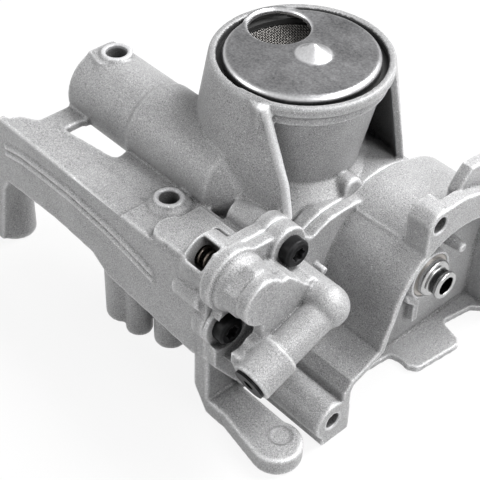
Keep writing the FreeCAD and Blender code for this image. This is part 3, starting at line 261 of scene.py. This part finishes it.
def black_steel():
    """Black oxide on screws and plugs, with a painted highlight along the edges."""
    finish = Finish("black_steel")
    edge_highlight = finish.painted("edge_highlight")
    marks = finish.noise(0.0007)
    return finish.set(
        # Lighter on outward bends: painted highlight
        base_color=finish.blend(marks * 0.5 + edge_highlight * 0.8, (0.002, 0.002, 0.002, 1), (0.04, 0.04, 0.042, 1)),
        roughness=0.26 + marks * 0.16,
        specular_ior_level=0.08,
        normal=finish.bump(marks, 0.00003))


def rubber():
    """Dull black moulded rubber."""
    finish = Finish("rubber")
    marks = finish.noise(0.001)
    return finish.set(
        base_color=finish.blend(marks, (0.004, 0.004, 0.004, 1), (0.014, 0.014, 0.014, 1)),
        roughness=0.7,
        normal=finish.bump(marks, 0.00004))


def linked(name, data):
    piece = bpy.data.objects.new(name, data)
    bpy.context.scene.collection.objects.link(piece)
    return piece


def copy_of(node, name):
    """A copy of a node's solid, with the corners of its facets joined."""
    mesh = frame["nodes"][node].data.copy()
    work = bmesh.new()
    work.from_mesh(mesh)
    bmesh.ops.remove_doubles(work, verts=work.verts, dist=1e-6)
    work.to_mesh(mesh)
    work.free()
    return linked(name, mesh)


def take_shape(piece):
    """Puts what a piece's modifiers make into its own mesh."""
    mesh = bpy.data.meshes.new_from_object(piece.evaluated_get(bpy.context.evaluated_depsgraph_get()))
    piece.modifiers.clear()
    piece.data = mesh


def cut_gridded(piece, step):
    """Rebuilds a closed mesh on a fine grid, so that its corners can be softened."""
    remesh = piece.modifiers.new("grid", "REMESH")
    remesh.mode = "VOXEL"
    remesh.voxel_size = step
    remesh.adaptivity = 0
    remesh.use_smooth_shade = True
    take_shape(piece)


def take_away(piece, tool):
    carve = piece.modifiers.new("carve", "BOOLEAN")
    carve.operation = "DIFFERENCE"
    carve.solver = "EXACT"
    carve.object = tool
    take_shape(piece)
    bpy.data.objects.remove(tool)


def join(pieces):
    """Gathers the meshes of several pieces in the first one."""
    work = bmesh.new()
    for piece in pieces:
        work.from_mesh(piece.data)
    work.to_mesh(pieces[0].data)
    work.free()
    for piece in pieces[1:]:
        bpy.data.objects.remove(piece)
    return pieces[0]


def vectors_of(mesh, key):
    """The "co" or the "normal" of each point, one row each."""
    values = np.zeros(len(mesh.vertices) * 3)
    mesh.vertices.foreach_get(key, values)
    return values.reshape(-1, 3)


def move_to(mesh, points):
    mesh.vertices.foreach_set("co", points.ravel())
    mesh.update()


def in_mm(piece):
    """X, Y and Z of a piece's points in mm."""
    return (vectors_of(piece.data, "co") / MM).T


def neighbour_means(mesh):
    """Makes a function that averages values over each point's neighbours."""
    edges = np.zeros(len(mesh.edges) * 2, np.int64)
    mesh.edges.foreach_get("vertices", edges)
    first, second = edges.reshape(-1, 2).T
    count = np.bincount(edges, minlength=len(mesh.vertices)).astype(float)
    count[count == 0] = 1

    def mean(values):
        total = np.zeros_like(values)
        for axis in range(values.shape[1]):
            total[:, axis] = (np.bincount(first, values[second, axis], len(values))
                              + np.bincount(second, values[first, axis], len(values)))
        return total / count[:, None]
    return mean


def paint(piece, name, values):
    """Paints a zone on a piece's points, from 0 to 1."""
    layer = piece.data.attributes.new(name, "FLOAT", "POINT")
    layer.data.foreach_set("value", np.clip(values, 0, 1).astype(np.float32))


def off_axis(first, second, centre):
    """Distance from an axis, from the two coordinates across it."""
    return np.hypot(first - centre[0], second - centre[1])


def rise(value, width=1.0):
    """0 up to a value of 0, then 1 from a value of width."""
    return np.clip(value / width, 0, 1)


def bell(distance, width):
    """1 at no distance, falling away over a width on both sides."""
    return np.exp(-(distance / width) ** 2)


# Machined rings: centre, axis, inner and outer radius, low and high along the axis, all in mm
HOUSING_RINGS = [
    (TUBE_BOSS, "Z", 0, 5.7, 51.8, 54),
    (FRAME_BOSS, "Z", 0, 5.3, 33.8, 35.2),
]
COVER_RINGS = [
    (LOWER_LUG, "X", 0, 4.4, 1.3, 3),
    (UPPER_LUG, "X", 0, 4.2, 1.3, 3),
    (SHAFT_AXIS, "X", 9.4, 12.2, -10, -7),
]
RING_FADE = 0.4


def on_rings(points, rings):
    """1 on the machined rings, fading at their rims."""
    x, y, z = points.T / MM
    inside = np.zeros(len(points))
    for centre, axis, inner, outer, low, high in rings:
        first, second, level = (x, y, z) if axis == "Z" else (y, z, x)
        spread = off_axis(first, second, centre)
        ring = rise(outer - spread, RING_FADE) * rise(spread - inner, RING_FADE)
        inside = np.maximum(inside, ring * ((level > low) & (level < high)))
    return inside


# Softening: share of the way to the neighbours in one round, and how firmly the machined rings are held
SOFTENING = 0.6
RING_HOLD = 0.5
# Bends are measured in this share of the grid's step, and up to PLAIN_BEND they count as flat
FULL_BEND = 0.075
PLAIN_BEND = 0.2
# After a relief, points that it moved further than this, in mm, are smoothed again
RELIEF_MOVED = 0.02


def dress(piece, step, rounds, rings=(), relief=None):
    """Grids and softens a closed piece, paints a highlight on its outward bends and shade in its inward
    bends, marks its machined rings, and adds its relief.
    """
    cut_gridded(piece, step)
    mesh = piece.data
    points = vectors_of(mesh, "co")
    mean = neighbour_means(mesh)
    free = 1 - RING_HOLD * on_rings(points, rings)[:, None]
    for _ in range(rounds):
        points = points + free * SOFTENING * (mean(points) - points)
    move_to(mesh, points)
    normals = vectors_of(mesh, "normal")
    bend = ((mean(points) - points) * normals).sum(1)[:, None]
    for _ in range(2):
        bend = mean(bend)
    bend = bend[:, 0] / (step * FULL_BEND)
    # Outward bends get a painted highlight, inward bends painted shade
    paint(piece, "edge_highlight", -bend - PLAIN_BEND)
    paint(piece, "crease_shade", bend - PLAIN_BEND)
    paint(piece, "milled", on_rings(points, rings))
    if relief:
        shift = relief(points / MM, normals) * MM
        points = points + shift
        moved = np.linalg.norm(shift, axis=1)[:, None] > RELIEF_MOVED * MM
        for _ in range(3):
            points = points + moved * 0.5 * (mean(points) - points)
        move_to(mesh, points)
    return piece


def finish_piece(piece, node, slot, body="pump"):
    """Gives a piece its look and its body, and hides the node that it stands for."""
    mesh = piece.data
    mesh.materials.clear()
    mesh.materials.append(LOOKS[slot])
    mesh.polygons.foreach_set("use_smooth", [True] * len(mesh.polygons))
    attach(piece, body)
    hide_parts(node)


def spot(work, x, y, z):
    """A new point, placed in mm."""
    return work.verts.new((x * MM, y * MM, z * MM))


def skin(work, loops):
    """Faces between loops of equally many points, with both ends closed."""
    sides = len(loops[0])
    for low, high in zip(loops, loops[1:]):
        for k in range(sides):
            after = (k + 1) % sides
            work.faces.new((low[k], low[after], high[after], high[k]))
    work.faces.new(loops[0])
    work.faces.new(loops[-1][::-1])


def piece_from(work, name):
    """Turns finished points and faces into a piece."""
    bmesh.ops.recalc_face_normals(work, faces=work.faces)
    mesh = bpy.data.meshes.new(name)
    work.to_mesh(mesh)
    work.free()
    return linked(name, mesh)


def slab(name, corners, low, high, spread):
    """An upright prism of corners in mm; spread scales its low end about its middle."""
    work = bmesh.new()
    middle = np.mean(corners, axis=0)

    def ring(level, scale):
        return [spot(work, *(middle + (np.array(corner) - middle) * scale), level) for corner in corners]

    skin(work, [ring(low, spread), ring(high, 1.0)])
    return piece_from(work, name)


def bead(name, places, radius, sides=12):
    """A round roll of metal that stands along places in mm."""
    work = bmesh.new()
    skin(work, [[spot(work, x + radius * math.cos(math.tau * k / sides),
                      y + radius * math.sin(math.tau * k / sides), z) for k in range(sides)]
                for x, y, z in places])
    return piece_from(work, name)


def lathe(name, profile, centre, steps=128):
    """Turns a closed profile of (radius, height) in mm round an upright axis."""
    work = bmesh.new()
    rings = []
    for radius, height in profile:
        rings.append([spot(work, centre[0] + radius * math.cos(math.tau * k / steps),
                           centre[1] + radius * math.sin(math.tau * k / steps), height)
                      for k in range(steps if radius else 1)])
    for low, high in zip(rings, rings[1:] + rings[:1]):
        if len(low) == len(high) == 1:
            continue
        for k in range(steps):
            after = (k + 1) % steps
            if len(low) == 1:
                work.faces.new((low[0], high[after], high[k]))
            elif len(high) == 1:
                work.faces.new((low[k], low[after], high[0]))
            else:
                work.faces.new((low[k], low[after], high[after], high[k]))
    return piece_from(work, name)


def arc(centre, radius, start, end, count=10):
    """Points of a profile's rounding, angles in degrees."""
    angles = [math.radians(start + (end - start) * k / count) for k in range(count + 1)]
    return [(centre[0] + radius * math.cos(angle), centre[1] + radius * math.sin(angle)) for angle in angles]


# Front cover, in mm
HOOD_BACK, HOOD_FRONT = -38, -11
HOOD_LOW = 20
HOOD_RADIUS = 33
PARTING_Y = -19.4
PARTING_SLOPE = 0.02
PARTING_WIDTH = 0.45
PARTING_HEIGHT = 0.35
BARREL_CORE, BARREL_RADIUS, BARREL_REACH = 8.4, 10.1, 13
BARREL_BACK, BARREL_FRONT = -31.5, -23.2
FLAT_NORMAL = np.array([0, -0.55, 0.83])
FLAT_LEVEL, FLAT_CORE = 8.45, 8.0
FLAT_BACK, FLAT_FRONT = -29.0, -22.9
LUG_BORE, LUG_FACE = 3.9, 1.4


def parting_line(points, normals):
    """The raised line along the hood, where the halves of the die met."""
    x, y, z = points.T
    on_hood = (x > HOOD_BACK) * (x < HOOD_FRONT) * (off_axis(y, z, SHAFT_AXIS) > HOOD_RADIUS) * (z > HOOD_LOW)
    line = bell(y - PARTING_Y - PARTING_SLOPE * (x - HOOD_BACK), PARTING_WIDTH) * on_hood
    return normals * (line * PARTING_HEIGHT)[:, None]


def barrel_section(points):
    """The thicker section of the control valve's barrel."""
    x, y, z = points.T
    spread = off_axis(y, z, VALVE_AXIS)
    on_barrel = (spread > BARREL_CORE) * (spread < BARREL_REACH)
    barrel = on_barrel * rise(x - BARREL_BACK) * rise(BARREL_FRONT - x, 0.6)
    outward = np.stack([np.zeros(len(x)), y - VALVE_AXIS[0], z - VALVE_AXIS[1]], 1)
    outward /= np.maximum(spread, 1)[:, None]
    return outward * (barrel * np.clip(BARREL_RADIUS - spread, 0, None))[:, None]


def barrel_flat(points, grown):
    """Presses the grown section back to a flat facet."""
    x, y, z = points.T
    spread = off_axis(y, z, VALVE_AXIS)
    inside = (spread > FLAT_CORE) * (spread < BARREL_REACH) * (x > FLAT_BACK) * (x < FLAT_FRONT)
    centre = np.array([0, *VALVE_AXIS]) + FLAT_NORMAL * FLAT_LEVEL
    normal = FLAT_NORMAL / np.linalg.norm(FLAT_NORMAL)
    past = (points + grown - centre) @ normal
    return -np.clip(past, 0, None)[:, None] * normal * inside[:, None]


def cover_relief(points, normals):
    """Parting line along the hood, and the valve's barrel with its flat."""
    grown = barrel_section(points)
    return parting_line(points, normals) + grown + barrel_flat(points, grown)


def front_cover():
    """Cover casting, with painted shade in the bores of its tapped lugs."""
    cover = dress(copy_of("front_cover", "cover_casting"), 0.5 * MM, 4, COVER_RINGS, cover_relief)
    x, y, z = in_mm(cover)
    lugs = (off_axis(y, z, LOWER_LUG) < LUG_BORE) + (off_axis(y, z, UPPER_LUG) < LUG_BORE)
    # Painted shade inside the lugs' bores, behind their faces
    paint(cover, "shade", 0.6 * (x < LUG_FACE) * lugs)
    finish_piece(cover, "front_cover", "cast_aluminium")


# Rear housing, in mm. The recess in the plate has a side through one corner, at a slope
PLATE_LOW, PLATE_HIGH = 28.5, 31.6
RECESS_BACK, RECESS_FRONT = -121, -84.5
RECESS_RUN = 34
RECESS_DEPTH = 2.5
RECESS_CORNER = (-120.6, -76.3)
RECESS_SLOPE = 0.089
MARK_RADIUS = 4.2
MARK_DEPTH = 0.35
FOOT_TOP = -25
# Cup, its rim and the two bores, where shade is painted
CUP_FLOOR, CUP_LIP = 36, 76.2
CUP_INNER = 22.4
CUP_TAPER = 0.16
CUP_STEP, CUP_STEP_LEVEL = 3.4, 72
RIM_RADIUS, RIM_LEVEL = 34.5, 75.6
TUBE_BORE, TUBE_BORE_TOP = 4.9, 52.6
FRAME_BORE, FRAME_BORE_TOP = 4.5, 34.4
FRAME_BOSS_RADIUS = 7.5
# Wing's end, where a highlight is painted: its levels, its reach and the side it faces
WING_LOW, WING_HIGH = 31, 76.5
WING_REACH = 2.2
WING_HIGHLIGHT_FACING = np.array([0.9, -0.35, 0.2])
WING_CORNER = [(-68, -48), (-60.4, -48.9), (-55.8, -50.2), (-54.1, -49.1),
               (-53.4, -46.8), (-57, -43.6), (-68, -45.5)]
WING_EDGE = np.array([
    (-55.2, -47.6, 75.8), (-54.6, -47.0, 74), (-53.3, -46.4, 70), (-50.6, -45.8, 62), (-47.5, -45.6, 54),
    (-44.9, -44.9, 46), (-43.6, -45.1, 41), (-42.6, -45.1, 36), (-42.0, -45.1, 32)])


def housing_relief(points, normals):
    """Recess that deepens along the side frame's plate, and the foot's ejector mark."""
    x, y, z = points.T
    up = normals[:, 2]
    on_plate = (z > PLATE_LOW) * (z < PLATE_HIGH) * rise(up - 0.5, 0.3)
    side = RECESS_CORNER[1] + (x - RECESS_CORNER[0]) * RECESS_SLOPE
    past_side = rise(side - y + 0.3, 0.6)
    along = rise(x - RECESS_BACK, RECESS_RUN) * (x < RECESS_FRONT)
    clear_of_boss = rise(off_axis(x, y, FRAME_BOSS) - FRAME_BOSS_RADIUS, 1.2)
    recess = on_plate * past_side * along * clear_of_boss * RECESS_DEPTH
    mark = rise(MARK_RADIUS - off_axis(x, y, EJECTOR_MARK), 0.6) * (up > 0.8) * (z < FOOT_TOP) * MARK_DEPTH
    return -np.array([0, 0, 1]) * (recess + mark)[:, None]


def paint_housing(housing):
    """Painted shade in the cup, on its rim, in the bores and round the ejector mark, and a painted highlight
    on the wing's end.
    """
    x, y, z = in_mm(housing)
    from_cup = off_axis(x, y, CUP_CENTRE)
    wall = CUP_INNER + (z - CUP_FLOOR) * CUP_TAPER + (z > CUP_STEP_LEVEL) * CUP_STEP
    in_cup = (from_cup < wall) * (z > CUP_FLOOR) * (z < CUP_LIP)
    on_rim = (from_cup < RIM_RADIUS) * rise(z - RIM_LEVEL, 0.5)
    in_tube = (off_axis(x, y, TUBE_BOSS) < TUBE_BORE) * (z < TUBE_BORE_TOP)
    in_frame = (off_axis(x, y, FRAME_BOSS) < FRAME_BORE) * (z < FRAME_BORE_TOP)
    in_bores = in_tube | in_frame
    mark_ring = bell(off_axis(x, y, EJECTOR_MARK) - MARK_RADIUS - 0.2, 0.45) * (z < FOOT_TOP)
    # Painted shade: deep in the cup and bores, milder on the rim's top and round the ejector mark
    paint(housing, "shade", np.maximum(0.9 * in_cup, 0.45 * on_rim) + 0.6 * in_bores + 0.5 * mark_ring)
    # Painted highlight on the wing's end, on the faces turned towards the given side
    edge_x, edge_y, edge_z = WING_EDGE[::-1].T
    from_edge = off_axis(x, y, (np.interp(z, edge_z, edge_x), np.interp(z, edge_z, edge_y)))
    wing_end = rise(WING_REACH - from_edge, 0.5) * (z > WING_LOW) * (z < WING_HIGH)
    facing = vectors_of(housing.data, "normal") @ WING_HIGHLIGHT_FACING
    paint(housing, "wing_highlight", wing_end * rise(facing + 0.1, 0.4))


def rear_housing():
    """Housing casting, with the rounded bead and top corner of its wing."""
    housing = join([
        copy_of("rear_housing", "housing_casting"),
        bead("wing_edge", WING_EDGE, 1.5),
        slab("wing_corner", WING_CORNER, 66, 76.1, 0.75),
    ])
    dress(housing, 0.6 * MM, 4, HOUSING_RINGS, housing_relief)
    paint_housing(housing)
    finish_piece(housing, "rear_housing", "cast_aluminium")


def cover_screws():
    screws = dress(copy_of("cover_screws", "cover_screws_black"), 0.25 * MM, 3)
    finish_piece(screws, "cover_screws", "black_steel")


# Drive shaft, in mm
GROOVE_BACK, GROOVE_FRONT = -4.6, -1.6
SHAFT_BORE, BORE_MOUTH = 4.1, -0.6


def drive_shaft():
    """Turned shaft, with painted shade in its groove and in its bore."""
    shaft = dress(copy_of("drive_shaft", "drive_shaft_turned"), 0.25 * MM, 2)
    x, y, z = in_mm(shaft)
    groove = rise(GROOVE_FRONT - x, 0.5) * rise(x - GROOVE_BACK, 0.5)
    in_bore = (off_axis(y, z, SHAFT_AXIS) < SHAFT_BORE) * (x < BORE_MOUTH)
    # Painted shade in the groove and inside the bore
    paint(shaft, "recess_shade", 0.85 * groove + in_bore)
    finish_piece(shaft, "drive_shaft", "turned_steel", "shaft")


# Strainer cap, in mm. The cone's steps are radius and height over the cap's top
CAP_TOP = 77.7
CAP_FOOT = 73.25
CAP_RADIUS = 29.3
CAP_SHEET = 1.2
CAP_ROUND = 2.4
HOLE_CENTRE = (-86.6, -9.8)
HOLE_RADIUS = 11.6
LIP_ROUND = 1.5
LIP_SHEET = 0.9
LIP_DEPTH = 2.7
LIP_LAP = 0.6
CONE_CENTRE = (-64.9, -13.6)
CONE_FOOT = 7.9
CONE_STEPS = [(7.5, 0), (6.2, 0.5), (3.0, 2.5), (0.8, 4.2), (0, 4.5)]


def strainer_cap():
    """Pressed cap: rounded rim, rolled-in hole and a cone."""
    under = CAP_TOP - CAP_SHEET
    bend = (CAP_RADIUS - CAP_ROUND, CAP_TOP - CAP_ROUND)
    profile = [(0, CAP_TOP)] + arc(bend, CAP_ROUND, 90, 0)
    profile += [(CAP_RADIUS, CAP_FOOT), (CAP_RADIUS - CAP_SHEET, CAP_FOOT)]
    profile += arc(bend, CAP_ROUND - CAP_SHEET, 0, 90) + [(0, under)]
    blank = lathe("strainer_cap_pressed", profile, CUP_CENTRE)
    bore = HOLE_RADIUS + CAP_SHEET
    take_away(blank, lathe("hole", [(0, CAP_FOOT - 2), (bore, CAP_FOOT - 2), (bore, CAP_TOP + 3),
                                    (0, CAP_TOP + 3)], HOLE_CENTRE))
    turn = HOLE_RADIUS + LIP_ROUND
    profile = arc((turn, CAP_TOP - LIP_ROUND), LIP_ROUND, 90, 180)
    profile += [(HOLE_RADIUS, CAP_TOP - LIP_DEPTH), (HOLE_RADIUS + LIP_SHEET, CAP_TOP - LIP_DEPTH),
                (HOLE_RADIUS + LIP_SHEET, CAP_TOP - LIP_ROUND), (turn, under + 0.1),
                (turn + LIP_LAP, under), (turn + LIP_LAP, CAP_TOP)]
    lip = lathe("lip", profile, HOLE_CENTRE)
    profile = [(0, under), (CONE_FOOT, under)] + [(radius, CAP_TOP + height) for radius, height in CONE_STEPS]
    cap = dress(join([blank, lip, lathe("cone", profile, CONE_CENTRE)]), 0.35 * MM, 4)
    x, y, z = in_mm(cap)
    # Painted highlights on the rim's rounding, round the hole's lip and on the cone
    rim = 0.7 * bell(off_axis(x, y, CUP_CENTRE) - CAP_RADIUS + 0.6, 0.7) * (z > CAP_TOP - 2.2)
    mouth = bell(off_axis(x, y, HOLE_CENTRE) - HOLE_RADIUS, 0.8) * (z > CAP_TOP - 2.9)
    cone = 0.7 * rise(7.2 - off_axis(x, y, CONE_CENTRE), 0.8) * (z > CAP_TOP - 0.3)
    paint(cap, "wear_and_highlight", np.maximum(np.maximum(rim, mouth), cone))
    finish_piece(cap, "strainer_cap", "pressed_steel")


# Strainer screen, in mm
SCREEN_LOW = 67.2
SCREEN_TOP = 71.6
SCREEN_FLAT = 20.0
SCREEN_EDGE = 28.6
RING_EDGE = 30.4
RING_SHEET = 0.6
RING_LAP = 0.8
WIRE_PITCH = 0.8
WIRE_RADIUS = 0.17
WIRE_SIDES = 4
WIRE_INSET = 0.3


def wire_level(across, along):
    """Height of the dished mesh at a point, measured from the cup's axis."""
    out = (math.hypot(across, along) - SCREEN_FLAT) / (SCREEN_EDGE - SCREEN_FLAT)
    return SCREEN_LOW + WIRE_INSET + min(1, max(0, out)) * (SCREEN_TOP - SCREEN_LOW - 2 * WIRE_INSET)


def weave_wire(work, side, row, across):
    """One wire of the mesh, over and under its neighbours."""
    half = math.sqrt(SCREEN_EDGE ** 2 - side ** 2)
    spots = int(4 * half / WIRE_PITCH)
    loops = []
    for k in range(spots + 1):
        run = -half + 2 * half * k / spots
        lift = WIRE_RADIUS * math.cos(math.pi * (run / WIRE_PITCH + row)) * (1 if across else -1)
        level = wire_level(side, run) + lift
        loop = []
        for turn in range(WIRE_SIDES):
            angle = math.tau * turn / WIRE_SIDES
            off = side + WIRE_RADIUS * math.cos(angle)
            x, y = (run, off) if across else (off, run)
            height = level + WIRE_RADIUS * math.sin(angle)
            loop.append(spot(work, CUP_CENTRE[0] + x, CUP_CENTRE[1] + y, height))
        loops.append(loop)
    skin(work, loops)


def strainer_screen():
    """Woven wire, held in a flat sheet ring."""
    inner, low = SCREEN_EDGE - RING_LAP, SCREEN_TOP - RING_SHEET
    profile = [(inner, low), (RING_EDGE, low), (RING_EDGE, SCREEN_TOP), (inner, SCREEN_TOP)]
    screen = lathe("strainer_screen_woven", profile, CUP_CENTRE, 96)
    ring_points = len(screen.data.vertices)
    work = bmesh.new()
    work.from_mesh(screen.data)
    count = int((SCREEN_EDGE - 1) / WIRE_PITCH)
    for across in (False, True):
        for row in range(-count, count + 1):
            weave_wire(work, row * WIRE_PITCH, row, across)
    bmesh.ops.recalc_face_normals(work, faces=work.faces)
    work.to_mesh(screen.data)
    work.free()
    paint(screen, "wire", np.arange(len(screen.data.vertices)) >= ring_points)
    finish_piece(screen, "strainer_screen", "screen_steel")


# Springs: node, joint, fixed end in mm, and share of the length that is kept
SPRINGS = [
    ("control_spring", "control_slide", (-63.8, -79, 29), 31.3 / 38.3),
    ("relief_spring", "relief_slide", (-90.8, 8, -24), 10.3 / 15.3),
]


def springs():
    """Copies of the wound springs."""
    for node, joint, fixed_end, share in SPRINGS:
        spring = copy_of(node, node + "_wound")
        finish_piece(spring, node, "spring_steel")
        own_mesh(spring)


LOOKS = {
    "cast_aluminium": cast_aluminium(),
    "turned_steel": turned("turned_steel", 0.5, 0.25),
    "bearing_bronze": turned("bearing_bronze", 0.4, 0.36, warm=0.06),
    "sintered_steel": turned("sintered_steel", 0.4, 0.4, 0.00004),
    "spring_steel": turned("spring_steel", 0.14, 0.24, warm=0.14),
    "copper": turned("copper", 0.5, 0.35, warm=0.35),
    "rubber": rubber(),
    "black_steel": black_steel(),
    "pressed_steel": pressed_steel(),
    "screen_steel": screen_steel(),
}
for part in frame["record"]["subparts"]:
    mesh = frame["nodes"][part["node"]].data
    mesh.materials.clear()
    mesh.materials.append(LOOKS[part["material_slot"]])

rear_housing()
front_cover()
cover_screws()
drive_shaft()
strainer_cap()
strainer_screen()
springs()

# Floor and lamps, in metres and watts
FLOOR_REACH = 3.0
FLOOR_GAP = 0.0002
FLOOR_GLOW = 0.88
ROOM_LIGHT = 0.07
WHITE = (1, 1, 1, 1)
LAMPS = [
    ("key", (0.1, 0.5, 0.75), 15.0),
    ("side", (0.7, 0.05, 0.65), 5.4),
    ("front", (-0.5, -0.7, 0.4), 2.8),
]
LAMP_AIM = Vector((-0.07, -0.02, 0))
LAMP_SIDE = 0.5


def floor():
    """White floor just under the pump, which keeps the pump's shadow."""
    mesh = bpy.data.meshes.new("floor")
    level = CAD_BOX[0][2] - FLOOR_GAP
    corners = [(-1, -1), (1, -1), (1, 1), (-1, 1)]
    mesh.from_pydata([(x * FLOOR_REACH, y * FLOOR_REACH, level) for x, y in corners], [], [(0, 1, 2, 3)])
    finish = Finish("floor_white")
    finish.set(base_color=(0.8, 0.8, 0.8, 1), roughness=0.9)
    glow = finish.node("ShaderNodeEmission", {}, {"Color": WHITE, "Strength": 1.0})
    plain = Signal(finish, finish.shader.outputs[0])
    mixed = finish.node("ShaderNodeMixShader", {}, [finish.looked_at() * FLOOR_GLOW, plain, glow])
    finish.feed(finish.tree.nodes["Material Output"].inputs[0], mixed)
    mesh.materials.append(finish.material)
    linked("floor", mesh)


def studio():
    """Low even light all round, white to look at, and three lamps."""
    world = bpy.data.worlds.new("studio")
    bpy.context.scene.world = world
    world.use_nodes = True
    maker = NodeMaker(world.node_tree)
    back = world.node_tree.nodes["Background"]
    levels = {0: maker.looked_at(), 2: ROOM_LIGHT, 3: 1.0}
    level = maker.node("ShaderNodeMix", {"data_type": "FLOAT"}, levels)
    maker.feed(back.inputs["Color"], WHITE)
    maker.feed(back.inputs["Strength"], level)
    for name, place, power in LAMPS:
        light = bpy.data.lights.new(name, "AREA")
        light.shape = "RECTANGLE"
        light.size = light.size_y = LAMP_SIDE
        light.energy = power
        holder = linked(name, light)
        holder.location = place
        holder.rotation_euler = (LAMP_AIM - Vector(place)).to_track_quat("-Z", "Y").to_euler()


def camera():
    """Camera at the photograph's viewing angle."""
    lens = bpy.data.cameras.new("camera")
    lens.lens = CAMERA_LENS
    lens.sensor_width = 36
    holder = linked("camera", lens)
    back = CAMERA_RIGHT.cross(CAMERA_UP)
    turn = Matrix((CAMERA_RIGHT, CAMERA_UP, back)).transposed().to_4x4()
    turn.translation = CAMERA_SPOT
    holder.matrix_world = turn
    bpy.context.scene.camera = holder


floor()
studio()
camera()
bpy.context.scene.view_settings.view_transform = "Standard"
